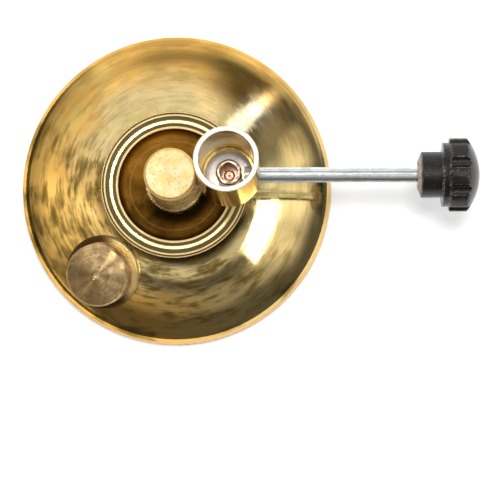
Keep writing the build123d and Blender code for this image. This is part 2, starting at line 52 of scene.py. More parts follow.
# A seated alcohol blowlamp: materials, braze fillet, wick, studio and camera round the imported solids.
# Lengths are in metres and +Z is up.
mm = 0.001
up = Vector((0, 0, 1))


# Places read from the frame
def middle(node):
    """The middle of a node's box."""
    low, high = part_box(node)
    return (low + high) / 2


def radius_of(node):
    """The greatest radius of a round node, seen from above."""
    low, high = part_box(node)
    return (high.y - low.y) / 2


joints = {joint["name"]: joint for joint in frame["joints"]}
flame_x = middle("flame_tube").x
flame_radius = radius_of("flame_tube")
flame_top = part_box("flame_tube")[1].z
riser_radius = radius_of("riser_tube")
bowl_radius = radius_of("preheat_bowl")
bowl_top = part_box("preheat_bowl")[1].z
gasket_radius = radius_of("cap_gasket")
sleeve_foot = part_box("air_sleeve")[0].z
knob_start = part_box("knob")[0].x

# Turning axes, each a point and a direction
tank_axis = (Vector((0, 0, 0)), up)
flame_axis = (Vector((flame_x, 0, 0)), up)
rod_axis = (Vector((0, 0, middle("knob").z)), Vector((1, 0, 0)))
filler_axis = (Vector(joints["cap_turn"]["pos_m"]), Vector(joints["cap_turn"]["axis"]).normalized())

# Sides that are soiled, pale or red, or painted lighter or darker as painted light and painted shade, as
# directions from a piece's own axis
soiled_direction = (-0.55, -0.83, 0)
shade_direction = (0.25, -0.97, 0)
pale_direction = (0.94, -0.34, 0)
glint_direction = (0.72, 0.69, 0)
red_direction = (-0.93, -0.37, 0)
bowl_lit_direction = (-0.6, 0.8, 0)
boss_lit_direction = (0.95, 0.31, 0)
cap_lit_direction = (0.87, 0.5, 0)
tube_inner_lit_direction = (-0.95, 0.3, 0)
tube_glare_direction = (0.77, -0.64, 0)
riser_lit_direction = (0.60, -0.80, 0)
rod_back_direction = (0, 1, 0)

# Colours, linear red, green and blue
brass_pale = (0.93, 0.72, 0.34)
brass_gold = (0.88, 0.60, 0.22)
brass_orange = (0.88, 0.50, 0.12)
brass_olive = (0.26, 0.165, 0.035)
brass_umber = (0.11, 0.060, 0.010)
brass_green = (0.70, 0.54, 0.17)
brass_glint = (0.96, 0.84, 0.60)
brass_straw = (0.74, 0.58, 0.26)
brass_tan = (0.82, 0.60, 0.38)
brass_brown = (0.30, 0.16, 0.05)
glare_cream = (0.86, 0.77, 0.61)
glare_white = (1.00, 0.97, 0.93)
sleeve_floor_grey = (0.50, 0.44, 0.38)
bead_gold = (1.00, 0.80, 0.42)
bead_pale = (0.92, 0.78, 0.38)
groove_olive = (0.055, 0.038, 0.006)
burnt_brown = (0.13, 0.056, 0.006)
burnt_tan = (0.25, 0.120, 0.018)
bowl_lit_orange = (0.38, 0.17, 0.02)
burnt_gold = (0.62, 0.33, 0.08)
bowl_shadow_black = (0.012, 0.006, 0.001)
boss_brown = (0.30, 0.17, 0.05)
boss_tan = (0.52, 0.33, 0.12)
boss_lit_pale = (1.00, 0.79, 0.36)
boss_lit_gold = (0.90, 0.62, 0.22)
boss_shadow_umber = (0.07, 0.035, 0.008)
cap_pale = (1.00, 0.70, 0.34)
cap_brown = (0.30, 0.170, 0.065)
tube_pale = (0.98, 0.82, 0.50)
tube_gold = (0.90, 0.67, 0.31)
heated_gold = (0.84, 0.67, 0.26)
heated_olive = (0.58, 0.45, 0.13)
inner_lit_cream = (1.00, 0.93, 0.66)
sleeve_gold = (1.00, 0.82, 0.40)
sleeve_olive = (0.62, 0.46, 0.12)
riser_gold = (1.00, 0.74, 0.32)
riser_orange = (0.80, 0.48, 0.14)
collar_brown = (0.50, 0.28, 0.07)
holder_pale = (0.62, 0.54, 0.46)
holder_brown = (0.50, 0.42, 0.33)
cast_cream = (0.98, 0.84, 0.50)
cast_gold = (0.97, 0.72, 0.30)
braze_grey = (0.42, 0.34, 0.25)
copper_pink = (0.90, 0.58, 0.42)
copper_brown = (0.72, 0.42, 0.28)
copper_dark = (0.10, 0.05, 0.03)
zinc_grey = (0.90, 0.93, 0.90)
zinc_dull = (0.72, 0.76, 0.74)
zinc_dark = (0.09, 0.095, 0.09)
phenolic_black = (0.008, 0.006, 0.005)
phenolic_wear_and_glint = (0.52, 0.44, 0.36)
cotton_white = (0.80, 0.76, 0.66)
cotton_shade = (0.52, 0.46, 0.36)
fibre_red = (0.22, 0.09, 0.05)
rubber_black = (0.03, 0.03, 0.03)
paper_grey = (0.80, 0.80, 0.80)
lamp_white = (1.0, 1.0, 1.0)

# What brass reflects at a grazing angle
brass_glance = (0.95, 0.75, 0.50)
tube_glance = (0.90, 0.70, 0.36)
sleeve_glance = (0.90, 0.70, 0.40)


class Nodes:
    """Short names for making the nodes of one material or world."""

    def __init__(self, tree):
        self.tree = tree
        tree.nodes.clear()

    def put(self, socket, value):
        """Joins a socket to another one, or sets its value."""
        if isinstance(value, bpy.types.NodeSocket):
            self.tree.links.new(value, socket)
        elif socket.type == "RGBA" and len(value) == 3:
            socket.default_value = (*value, 1)
        else:
            socket.default_value = value

    def add(self, kind, inputs=(), **settings):
        node = self.tree.nodes.new("ShaderNode" + kind)
        for name, value in settings.items():
            setattr(node, name, value)
        for name, value in dict(inputs).items():
            self.put(node.inputs[name], value)
        return node

    def maths(self, operation, *values):
        node = self.add("Math", operation=operation)
        for socket, value in zip(node.inputs, values):
            self.put(socket, value)
        return node.outputs[0]

    def product(self, first, *others):
        """All these values multiplied together."""
        for other in others:
            first = self.maths("MULTIPLY", first, other)
        return first

    def vector(self, operation, *values):
        node = self.add("VectorMath", operation=operation)
        for socket, value in zip(node.inputs, values):
            self.put(socket, value)
        return node.outputs["Value" if operation in ("DOT_PRODUCT", "LENGTH") else "Vector"]

    def scaled(self, vector, factor):
        node = self.add("VectorMath", {"Scale": factor}, operation="SCALE")
        self.put(node.inputs[0], vector)
        return node.outputs["Vector"]

    def place(self):
        """Where a point of the surface is, in the shared frame."""
        return self.add("TexCoord").outputs["Object"]

    def normal(self):
        """The surface's own normal."""
        return self.add("NewGeometry").outputs["Normal"]

    def noise(self, place, scale=1.0, detail=3.0, rough=0.55, distortion=0.0):
        fineness = {"Scale": scale, "Detail": detail, "Roughness": rough, "Distortion": distortion}
        return self.add("TexNoise", {"Vector": place, **fineness}).outputs["Fac"]

    def swayed(self, noise, other, share):
        """A noise with a share of another noise's swing added. A noise swings about one half."""
        swing = self.maths("SUBTRACT", other, 0.5)
        return self.maths("ADD", noise, self.product(swing, share))

    def fade(self, value, low, high, at_low=0.0, at_high=1.0):
        """Goes smoothly from at_low, where the value is low, to at_high, where it is high."""
        inputs = {"Value": value, "From Min": low, "From Max": high, "To Min": at_low, "To Max": at_high}
        return self.add("MapRange", inputs, interpolation_type="SMOOTHSTEP").outputs["Result"]

    def varied(self, noise, at_low, at_high):
        """A value that follows the whole swing of a noise."""
        return self.fade(noise, 0.3, 0.7, at_low, at_high)

    def colour(self, factor, first, second):
        """The first colour where the factor is 0, and the second where it is 1."""
        node = self.add("Mix", data_type="RGBA")
        # A Mix node has sockets for numbers, vectors and colours, and these are the ones for colours
        factor_socket, first_socket, second_socket, result_socket = 0, 6, 7, 2
        self.put(node.inputs[factor_socket], factor)
        self.put(node.inputs[first_socket], first)
        self.put(node.inputs[second_socket], second)
        return node.outputs[result_socket]

    def mottled(self, noise, first, second):
        """Two colours in patches that follow a noise."""
        return self.colour(self.fade(noise, 0.35, 0.65), first, second)

    def bump(self, height, distance, normal=None):
        node = self.add("Bump", {"Height": height, "Distance": distance})
        if normal is not None:
            self.put(node.inputs["Normal"], normal)
        return node.outputs["Normal"]


class Lathe:
    """Height, radius and outward direction about a turning axis, for each point of a surface."""

    def __init__(self, nodes, axis):
        self.nodes = nodes
        point, self.direction = axis
        arm = nodes.vector("SUBTRACT", nodes.place(), point)
        self.height = nodes.vector("DOT_PRODUCT", arm, self.direction)
        reach = nodes.vector("SUBTRACT", arm, nodes.scaled(self.direction, self.height))
        self.radius = nodes.vector("LENGTH", reach)
        self.outward = nodes.vector("NORMALIZE", reach)

    def noise(self, per_turn, per_metre, **settings):
        """A noise that is drawn out round the axis, with no seam."""
        nodes = self.nodes
        step = nodes.product(nodes.maths("ADD", self.radius, self.height), per_metre)
        around = nodes.scaled(self.outward, per_turn)
        place = nodes.vector("ADD", around, nodes.scaled(self.direction, step))
        return nodes.noise(place, **settings)

    def side(self, direction, low, high, at_low=0.0, at_high=1.0):
        """Goes from at_low to at_high where the surface faces the direction. low and high are cosines."""
        facing = self.nodes.vector("DOT_PRODUCT", self.outward, direction)
        return self.nodes.fade(facing, low, high, at_low, at_high)

    def across_grooves(self):
        """The direction in the surface that crosses the lathe's grooves."""
        nodes = self.nodes
        around = nodes.vector("CROSS_PRODUCT", self.direction, self.outward)
        return nodes.vector("NORMALIZE", nodes.vector("CROSS_PRODUCT", around, nodes.normal()))


def softened(nodes, radius, samples=6):
    """The surface's normal, with its edges rounded off within the radius."""
    return nodes.add("Bevel", {"Radius": radius}, samples=samples).outputs["Normal"]


def edge_of(nodes, radius, low=0.004, high=0.10):
    """One where the surface bends sharply within the radius, and the softened normal there."""
    soft = softened(nodes, radius)
    turn = nodes.maths("SUBTRACT", 1.0, nodes.vector("DOT_PRODUCT", soft, nodes.normal()))
    return nodes.fade(turn, low, high), soft


def new_material(name):
    material = bpy.data.materials.new(name)
    material.use_nodes = True
    return material, Nodes(material.node_tree)


def surface(nodes, inputs):
    """One Principled shader with these inputs, joined to the output."""
    shader = nodes.add("BsdfPrincipled", inputs)
    nodes.add("OutputMaterial", {"Surface": shader.outputs[0]})


def specks_of(nodes, scale, low, high, share):
    """Small scattered spots, as strong as the share."""
    return nodes.fade(nodes.noise(nodes.place(), scale, detail=2.0), low, high, 0.0, share)


# Materials
def turned_brass(name, axis, light, deep, dark, smear=(4.0, 260.0), dark_share=0.5, roughness=0.14,
                 metallic=1.0, brushed=0.5, edge_radius=0.25 * mm, lit_towards=None):
    """Brass from the lathe: fine grooves, tarnish smeared round the axis, soft dents and edges pale from
    rubbing.
    smear says how fine the tarnish is, per turn and per metre. The last argument is the direction of a side
    that is painted lighter, as painted light."""
    groove_height, dent_height = 0.0015 * mm, 0.03 * mm
    material, nodes = new_material(name)
    lathe = Lathe(nodes, axis)
    per_turn, per_metre = smear
    wide = lathe.noise(per_turn, per_metre, detail=4.0, distortion=0.6)
    narrow = lathe.noise(3 * per_turn, 5 * per_metre, detail=3.0)
    fine = lathe.noise(per_turn / 2, 2400.0, detail=2.0)
    colour = nodes.mottled(narrow, light, deep)
    stain = nodes.fade(nodes.swayed(wide, narrow, 0.6), 0.62, 0.34, 0.0, dark_share)
    colour = nodes.colour(stain, colour, dark)
    colour = nodes.colour(nodes.varied(fine, 0.0, 0.16), colour, dark)
    # Painted light: one side is painted in the light colour.
    if lit_towards:
        colour = nodes.colour(lathe.side(lit_towards, 0.60, 0.92), colour, light)
    edge, soft = edge_of(nodes, edge_radius)
    colour = nodes.colour(nodes.product(edge, 0.6), colour, light)
    colour = nodes.colour(specks_of(nodes, 900.0, 0.66, 0.74, 0.5), colour, dark)
    dents = nodes.noise(nodes.place(), 45.0, detail=1.0)
    grooves = nodes.bump(fine, groove_height, soft)
    surface(nodes, {
        "Base Color": colour,
        "Metallic": metallic,
        "Roughness": nodes.varied(wide, roughness * 1.5, roughness * 0.7),
        "Anisotropic": brushed,
        "Tangent": lathe.across_grooves(),
        "Normal": nodes.bump(dents, dent_height, grooves),
    })
    return material


def tank_metal(nodes, lathe, broad):
    """The tank's colour below its tarnish: pale near the bowl and orange towards the shoulder, with a
    painted highlight streak on one side near the bowl.
    """
    pale_until, orange_from, waver = 36 * mm, 52 * mm, 3 * mm
    glint_until, glint_end = 46 * mm, 56 * mm
    hue = lathe.noise(4.0, 170.0, detail=2.0, distortion=0.3)
    wavering = nodes.maths("ADD", lathe.radius, nodes.varied(broad, -waver, waver))
    colour = nodes.colour(nodes.fade(wavering, pale_until, orange_from), brass_pale, brass_orange)
    colour = nodes.colour(nodes.fade(hue, 0.48, 0.66, 0.0, 0.5), colour, brass_green)
    colour = nodes.colour(lathe.side(pale_direction, 0.1, 0.9, 0.0, 0.85), colour, brass_straw)
    # Painted highlight: a narrow bright streak on one side near the bowl, where a long lamp shines in the
    # metal.
    glint_side = lathe.side(glint_direction, 0.980, 0.996, 0.0, 0.7)
    near_the_bowl = nodes.fade(lathe.radius, glint_until, glint_end, 1.0, 0.0)
    colour = nodes.colour(nodes.product(glint_side, near_the_bowl), colour, brass_glint)
    return nodes.colour(lathe.side(red_direction, 0.6, 0.95, 0.0, 0.7), colour, brass_orange)


def tank_tarnish(nodes, lathe, colour, stain, fine):
    """Dark and olive tarnish over the tank's metal, thickest on the filler's side, and a painted shade next
    to the bowl on the front side.
    """
    shade_from, shade_end = bowl_radius + 0.8 * mm, bowl_radius + 2.6 * mm
    soil = lathe.side(soiled_direction, -0.45, 0.65, 0.22, 1.0)
    olive = nodes.product(nodes.fade(stain, 0.66, 0.34, 0.0, 0.80), soil)
    umber = nodes.product(nodes.fade(stain, 0.46, 0.18, 0.0, 0.75), soil)
    colour = nodes.colour(olive, colour, brass_olive)
    colour = nodes.colour(umber, colour, brass_umber)
    colour = nodes.colour(nodes.varied(fine, 0.0, 0.14), colour, brass_olive)
    colour = nodes.colour(specks_of(nodes, 1400.0, 0.70, 0.76, 0.6), colour, brass_pale)
    # Painted shade: the tank is painted dark next to the bowl on its front side, where the bowl's rim shades
    # it.
    by_the_bowl = nodes.fade(lathe.radius, shade_from, shade_end, 0.9, 0.0)
    shaded_side = lathe.side(shade_direction, 0.0, 0.8)
    return nodes.colour(nodes.product(by_the_bowl, shaded_side), colour, brass_umber)


def spun_brass():
    """The tank: polished by spinning, tarnished in smears round the axis, and slightly wavy."""
    wall_top, wall_softness, edge_radius = 8.5 * mm, 1 * mm, 0.25 * mm
    wavy_height, fine_height = 0.007 * mm, 0.0003 * mm
    material, nodes = new_material("tank_brass")
    lathe = Lathe(nodes, tank_axis)
    broad = lathe.noise(2.6, 55.0, detail=2.0, distortion=0.3)
    smear = lathe.noise(5.0, 300.0, detail=2.5, rough=0.5, distortion=0.25)
    streak = lathe.noise(4.5, 1000.0, detail=3.0)
    fine = lathe.noise(2.5, 2600.0, detail=2.0)
    stain = nodes.swayed(nodes.swayed(smear, broad, 0.7), streak, 1.0)
    colour = tank_tarnish(nodes, lathe, tank_metal(nodes, lathe, broad), stain, fine)
    wall = nodes.fade(lathe.height, wall_top - wall_softness, wall_top + wall_softness, 0.85, 0.0)
    colour = nodes.colour(wall, colour, brass_tan)
    edge, soft = edge_of(nodes, edge_radius)
    wavy = nodes.bump(lathe.noise(5.0, 110.0, detail=1.0), wavy_height, nodes.bump(smear, fine_height, soft))
    surface(nodes, {
        "Base Color": nodes.colour(nodes.product(edge, 0.5), colour, brass_orange),
        "Metallic": 1.0,
        "Roughness": nodes.maths("ADD", nodes.fade(stain, 0.60, 0.30, 0.06, 0.14), nodes.product(wall, 0.2)),
        "Anisotropic": 0.3,
        "Specular Tint": brass_glance,
        "Tangent": lathe.across_grooves(),
        "Normal": nodes.bump(fine, fine_height, wavy),
    })
    return material


def bowl_brass():
    """The bowl: bright beads with tarnish in their grooves, and a floor and wall browned by the flame,
    painted lighter orange on the back left side as painted light and nearly black by the riser on the front
    side as a painted shadow.
    """
    beads_width, beads_softness = 7.3 * mm, 0.4 * mm
    middle_bead_radius, middle_bead_reach = bowl_radius - 4.2 * mm, 0.95 * mm
    gold_ring_radius, gold_ring_reach = bowl_radius - 11.7 * mm, 0.45 * mm
    shade_from, shade_end = riser_radius + 3 * mm, riser_radius + 8 * mm
    groove_top, groove_softness = bowl_top - 0.26 * mm, 0.16 * mm
    edge_radius, fine_height = 0.15 * mm, 0.002 * mm
    material, nodes = new_material("bowl_brass")
    lathe = Lathe(nodes, tank_axis)
    fine = lathe.noise(2.0, 1800.0, detail=2.0)
    smear = lathe.noise(2.5, 160.0, detail=4.0, distortion=0.5)
    brown = nodes.mottled(smear, burnt_brown, burnt_tan)
    # Painted light: the browned floor and wall are painted lighter orange on their back left side.
    brown = nodes.colour(lathe.side(bowl_lit_direction, 0.3, 1.0, 0.0, 0.6), brown, bowl_lit_orange)
    gold_ring = nodes.maths("COMPARE", lathe.radius, gold_ring_radius, gold_ring_reach)
    brown = nodes.colour(nodes.product(gold_ring, 0.4), brown, burnt_gold)
    # Painted shadow: the floor by the riser is painted nearly black on the front side.
    shaded_side = lathe.side(shade_direction, -0.2, 0.7)
    by_the_riser = nodes.fade(lathe.radius, shade_from, shade_end, 0.95, 0.35)
    brown = nodes.colour(nodes.product(shaded_side, by_the_riser), brown, bowl_shadow_black)
    middle_bead = nodes.maths("COMPARE", lathe.radius, middle_bead_radius, middle_bead_reach)
    gold = nodes.colour(nodes.varied(fine, 0.0, 0.25), bead_gold, brass_gold)
    bright = nodes.colour(middle_bead, gold, bead_pale)
    inside = bowl_radius - beads_width
    burnt = nodes.fade(lathe.radius, inside, inside + beads_softness, 1.0, 0.0)
    colour = nodes.colour(burnt, bright, brown)
    low = nodes.fade(lathe.height, groove_top - groove_softness, groove_top, 1.0, 0.0)
    in_groove = nodes.product(low, nodes.maths("SUBTRACT", 1.0, burnt))
    rough = nodes.maths("SUBTRACT", 0.52, nodes.product(middle_bead, 0.20))
    surface(nodes, {
        "Base Color": nodes.colour(nodes.product(in_groove, 0.9), colour, groove_olive),
        "Metallic": 1.0,
        "Roughness": nodes.maths("ADD", rough, nodes.varied(smear, 0.04, -0.04)),
        "Anisotropic": 0.4,
        "Specular Tint": brass_glance,
        "Tangent": lathe.across_grooves(),
        "Normal": nodes.bump(fine, fine_height, softened(nodes, edge_radius)),
    })
    return material


def boss_brass():
    """The filler's seat: brown, painted gold on its lit side towards the bowl as painted light, and painted
    nearly black round its outer edge on the other side as a painted shadow.
    """
    dark_from, dark_end = gasket_radius + 0.2 * mm, gasket_radius + 1.2 * mm
    edge_radius, smear_height = 0.5 * mm, 0.004 * mm
    material, nodes = new_material("boss_brass")
    lathe = Lathe(nodes, filler_axis)
    smear = lathe.noise(3.0, 500.0, detail=3.0, distortion=0.3)
    # Painted light and shade: the lit half is painted gold and the other half brown.
    boss_lit_half = lathe.side(boss_lit_direction, 0.25, 0.75)
    brown = nodes.mottled(smear, boss_brown, boss_tan)
    gold = nodes.mottled(smear, boss_lit_pale, boss_lit_gold)
    colour = nodes.colour(boss_lit_half, brown, gold)
    # Painted shadow: the outer edge of the shaded half is painted nearly black.
    outer = nodes.fade(lathe.radius, dark_from, dark_end)
    boss_shaded_half = nodes.maths("SUBTRACT", 1.0, boss_lit_half)
    surface(nodes, {
        "Base Color": nodes.colour(nodes.product(outer, boss_shaded_half), colour, boss_shadow_umber),
        "Metallic": 0.8,
        "Roughness": nodes.varied(smear, 0.34, 0.24),
        "Specular Tint": brass_glance,
        "Normal": nodes.bump(smear, smear_height, softened(nodes, edge_radius)),
    })
    return material


def cap_brass():
    """The filler cap: turned and then handled, brown and dull with fine rings, and painted browner on the
    side away from the light as a painted shade. Its top is drawn slightly domed, so that it shines in a fan."""
    mark_radius, mark_end, edge_radius = 1.1 * mm, 1.5 * mm, 0.4 * mm
    dome_slope = 0.15
    material, nodes = new_material("cap_brass")
    lathe = Lathe(nodes, filler_axis)
    rings = lathe.noise(1.0, 1600.0, detail=3.0)
    cloud = nodes.noise(nodes.place(), 300.0, detail=5.0, rough=0.6)
    grain = nodes.noise(nodes.place(), 1100.0, detail=3.0)
    colour = nodes.colour(nodes.fade(cloud, 0.38, 0.62, 0.0, 0.58), cap_pale, cap_brown)
    colour = nodes.colour(nodes.fade(rings, 0.42, 0.66, 0.0, 0.35), colour, cap_brown)
    colour = nodes.colour(nodes.fade(grain, 0.58, 0.70, 0.0, 0.5), colour, cap_brown)
    # Painted shade: the side away from the light is painted brown.
    colour = nodes.colour(lathe.side(cap_lit_direction, -0.8, 0.5, 0.75, 0.0), colour, cap_brown)
    colour = nodes.colour(nodes.fade(lathe.radius, mark_radius, mark_end, 0.8, 0.0), colour, brass_pale)
    colour = nodes.colour(specks_of(nodes, 800.0, 0.70, 0.74, 0.8), colour, brass_pale)
    edge, soft = edge_of(nodes, edge_radius)
    colour = nodes.colour(nodes.product(edge, 0.7), colour, brass_gold)
    dome = nodes.scaled(lathe.outward, nodes.product(lathe.radius, dome_slope / gasket_radius))
    facing = nodes.colour(edge, nodes.normal(), soft)
    surface(nodes, {
        "Base Color": colour,
        "Metallic": 1.0,
        "Roughness": nodes.varied(cloud, 0.28, 0.31),
        "Anisotropic": 1.0,
        "Tangent": lathe.across_grooves(),
        "Normal": nodes.vector("NORMALIZE", nodes.vector("ADD", facing, dome)),
    })
    return material


def flame_brass():
    """The flame tube: polished outside, heated brown inside, with a painted reflection in white on one outer
    side, painted light in cream on one inner side, and its lip painted nearly white as a painted highlight.
    """
    heated_until, heated_end = flame_radius - 1.9 * mm, flame_radius - 1.6 * mm
    lip_from, lip_full = flame_top - 0.9 * mm, flame_top - 0.3 * mm
    edge_radius, fine_height = 0.5 * mm, 0.0015 * mm
    material, nodes = new_material("flame_brass")
    lathe = Lathe(nodes, flame_axis)
    smear = lathe.noise(2.5, 220.0, detail=3.0, distortion=0.4)
    fine = lathe.noise(2.0, 2200.0, detail=2.0)
    outside = nodes.mottled(smear, tube_pale, tube_gold)
    # Painted reflection: one outer side is painted nearly white where it mirrors a softbox.
    outside = nodes.colour(lathe.side(tube_glare_direction, 0.80, 0.95, 0.0, 0.7), outside, glare_white)
    heated = nodes.mottled(smear, heated_gold, heated_olive)
    # Painted light: the inner wall on the side facing the light is painted cream and made less metallic.
    inner_lit_side = lathe.side(tube_inner_lit_direction, 0.0, 0.8, 0.0, 0.95)
    heated = nodes.colour(inner_lit_side, heated, inner_lit_cream)
    inner = nodes.fade(lathe.radius, heated_until, heated_end, 1.0, 0.0)
    colour = nodes.colour(inner, outside, heated)
    colour = nodes.colour(nodes.fade(fine, 0.35, 0.70, 0.0, 0.15), colour, brass_olive)
    # Painted highlight: the lip is painted nearly white.
    lip = nodes.fade(lathe.height, lip_from, lip_full)
    surface(nodes, {
        "Base Color": nodes.colour(lip, colour, glare_cream),
        "Metallic": nodes.maths("SUBTRACT", 1.0, nodes.product(inner, inner_lit_side, 0.5)),
        "Roughness": nodes.maths("ADD", nodes.varied(smear, 0.16, 0.08), nodes.product(lip, 0.25)),
        "Anisotropic": 0.3,
        "Specular Tint": tube_glance,
        "Tangent": lathe.across_grooves(),
        "Normal": nodes.bump(fine, fine_height, softened(nodes, edge_radius)),
    })
    return material


def sleeve_brass():
    """The air sleeve: heat has turned its wall olive and gold, while its floor is painted nearly white as a
    painted highlight.
    """
    floor_top, floor_softness = sleeve_foot + 2.2 * mm, 0.5 * mm
    edge_radius, cloud_height = 0.3 * mm, 0.006 * mm
    material, nodes = new_material("sleeve_brass")
    lathe = Lathe(nodes, flame_axis)
    smear = lathe.noise(2.5, 400.0, detail=4.0, distortion=0.5)
    cloud = nodes.noise(nodes.place(), 500.0, detail=4.0)
    wall = nodes.colour(nodes.fade(smear, 0.34, 0.58), sleeve_olive, sleeve_gold)
    # Painted highlight: the floor is painted nearly white, with grey patches, and made less metallic so that
    # it reads bright.
    floor_glare = nodes.colour(nodes.fade(cloud, 0.52, 0.68, 0.0, 0.3), glare_white, sleeve_floor_grey)
    on_wall = nodes.fade(lathe.height, floor_top, floor_top + floor_softness)
    surface(nodes, {
        "Base Color": nodes.colour(on_wall, floor_glare, wall),
        "Metallic": nodes.maths("ADD", 0.3, nodes.product(on_wall, 0.5)),
        "Roughness": nodes.varied(cloud, 0.26, 0.20),
        "Specular Tint": sleeve_glance,
        "Normal": nodes.bump(cloud, cloud_height, softened(nodes, edge_radius)),
    })
    return material


def cast_brass():
    """The riser's cap: pale and rough from the brazing, with small pits and an edge orange from rubbing."""
    rim_from, rim_full = riser_radius - 1.1 * mm, riser_radius - 0.1 * mm
    edge_radius, pit_depth = 0.4 * mm, 0.02 * mm
    material, nodes = new_material("cast_brass")
    lathe = Lathe(nodes, tank_axis)
    grain = nodes.noise(nodes.place(), 1500.0, detail=4.0, rough=0.65)
    cloud = nodes.noise(nodes.place(), 260.0, detail=3.0)
    colour = nodes.mottled(cloud, cast_cream, cast_gold)
    colour = nodes.colour(nodes.fade(grain, 0.54, 0.70, 0.0, 0.6), colour, brass_olive)
    rim = nodes.fade(lathe.radius, rim_from, rim_full)
    surface(nodes, {
        "Base Color": nodes.colour(nodes.product(rim, 0.8), colour, brass_orange),
        "Metallic": 1.0,
        "Roughness": nodes.varied(grain, 0.42, 0.52),
        "Normal": nodes.bump(grain, pit_depth, softened(nodes, edge_radius)),
    })
    return material


def braze_metal():
    """The braze: dull grey gold with scale and flux stains."""
    scale_height = 0.15 * mm
    material, nodes = new_material("braze_alloy")
    cloud = nodes.noise(nodes.place(), 420.0, detail=5.0, rough=0.65, distortion=0.8)
    colour = nodes.colour(nodes.fade(cloud, 0.38, 0.62), brass_brown, braze_grey)
    colour = nodes.colour(nodes.fade(cloud, 0.62, 0.70, 0.0, 0.8), colour, brass_pale)
    surface(nodes, {
        "Base Color": colour,
        "Metallic": 1.0,
        "Roughness": nodes.varied(cloud, 0.55, 0.25),
        "Normal": nodes.bump(cloud, scale_height),
    })
    return material


def zinc_steel():
    """The rod: zinc plate over drawn steel, with fine lines along it and two darker stripes along it as
    painted reflections.
    """
    edge_radius, line_height = 0.2 * mm, 0.001 * mm
    # Each painted reflection stripe's place across the rod and half its width, as shares of the rod's
    # radius, and how dark it is
    reflection_bands = ((-0.76, 0.17, 1.0), (0.26, 0.07, 0.85))
    line_scales, streak_scales = (8.0, 2200.0, 2200.0), (60.0, 1500.0, 1500.0)
    material, nodes = new_material("plated_steel")
    lathe = Lathe(nodes, rod_axis)
    place = nodes.place()
    lines = nodes.noise(nodes.vector("MULTIPLY", place, line_scales), detail=4.0)
    streaks = nodes.noise(nodes.vector("MULTIPLY", place, streak_scales), detail=4.0, rough=0.6)
    cloud = nodes.noise(place, 260.0, detail=3.0)
    colour = nodes.colour(nodes.fade(cloud, 0.40, 0.65), zinc_grey, zinc_dull)
    colour = nodes.colour(nodes.fade(lines, 0.50, 0.68, 0.0, 0.55), colour, zinc_dark)
    colour = nodes.colour(nodes.fade(streaks, 0.60, 0.72, 0.0, 0.6), colour, zinc_dark)
    back = nodes.vector("DOT_PRODUCT", lathe.outward, rod_back_direction)
    broken = nodes.fade(lines, 0.30, 0.50, 0.6, 1.0)
    # Painted reflection: two dark stripes along the rod stand in for what its round side mirrors.
    for band_place, half_width, darkness in reflection_bands:
        off = nodes.maths("ABSOLUTE", nodes.maths("SUBTRACT", back, band_place))
        reflection_band = nodes.fade(off, 0.0, 2 * half_width, darkness, 0.0)
        colour = nodes.colour(nodes.product(reflection_band, broken), colour, zinc_dark)
    surface(nodes, {
        "Base Color": colour,
        "Metallic": 0.85,
        "Roughness": nodes.varied(cloud, 0.26, 0.34),
        "Anisotropic": 0.7,
        "Tangent": nodes.vector("CROSS_PRODUCT", lathe.direction, lathe.outward),
        "Normal": nodes.bump(lines, line_height, softened(nodes, edge_radius)),
    })
    return material


def phenolic():
    """The knob: glossy black moulding, brown from rubbing along its edges and end, with fine scratches. The
    pale edges are also painted highlights, standing in for glints along the flutes.
    """
    edge_radius, scuff_height = 0.9 * mm, 0.004 * mm
    bare_until, worn_until = knob_start + 0.9 * mm, knob_start + 1.6 * mm
    dull_until, gloss_from = knob_start + 6 * mm, knob_start + 12 * mm
    scratch_scales = (300.0, 2600.0, 2600.0)
    material, nodes = new_material("black_moulding")
    lathe = Lathe(nodes, rod_axis)
    place = nodes.place()
    scuff = nodes.noise(place, 700.0, detail=5.0, rough=0.7)
    cloud = nodes.noise(place, 120.0, detail=3.0)
    scratches = nodes.noise(nodes.vector("MULTIPLY", place, scratch_scales), detail=2.0)
    edge, soft = edge_of(nodes, edge_radius, low=0.006, high=0.12)
    # Wear and painted highlight: the edges are painted pale, standing in for both wear and the glints along
    # them.
    edges = nodes.product(edge, nodes.fade(scuff, 0.42, 0.66, 0.0, 0.7))
    end = nodes.product(nodes.fade(lathe.height, worn_until, bare_until), nodes.fade(scuff, 0.30, 0.50))
    wear_and_glints = nodes.maths("MAXIMUM", edges, end)
    wear_and_glints = nodes.maths("MAXIMUM", wear_and_glints, nodes.fade(scratches, 0.62, 0.74, 0.0, 0.18))
    rough = nodes.maths("ADD", nodes.varied(cloud, 0.12, 0.26), nodes.product(wear_and_glints, 0.3))
    dull_hub = nodes.fade(lathe.height, dull_until, gloss_from, 0.12, 0.0)
    surface(nodes, {
        "Base Color": nodes.colour(wear_and_glints, phenolic_black, phenolic_wear_and_glint),
        "Roughness": nodes.maths("ADD", rough, dull_hub),
        "Specular IOR Level": 0.42,
        "Normal": nodes.bump(scuff, scuff_height, soft),
    })
    return material


def copper():
    """The jet and its washer: turned copper with fine rings, darker round the pinhole."""
    pin_radius, pin_end, ring_height = 0.25 * mm, 0.6 * mm, 0.004 * mm
    material, nodes = new_material("copper")
    lathe = Lathe(nodes, flame_axis)
    rings = lathe.noise(2.0, 3000.0, detail=2.0)
    cloud = nodes.noise(nodes.place(), 600.0, detail=3.0)
    colour = nodes.mottled(cloud, copper_pink, copper_brown)
    pin = nodes.fade(lathe.radius, pin_radius, pin_end, 0.8, 0.0)
    surface(nodes, {
        "Base Color": nodes.colour(pin, colour, copper_dark),
        "Metallic": 1.0,
        "Roughness": nodes.varied(rings, 0.28, 0.42),
        "Anisotropic": 0.3,
        "Tangent": lathe.across_grooves(),
        "Normal": nodes.bump(rings, ring_height),
    })
    return material


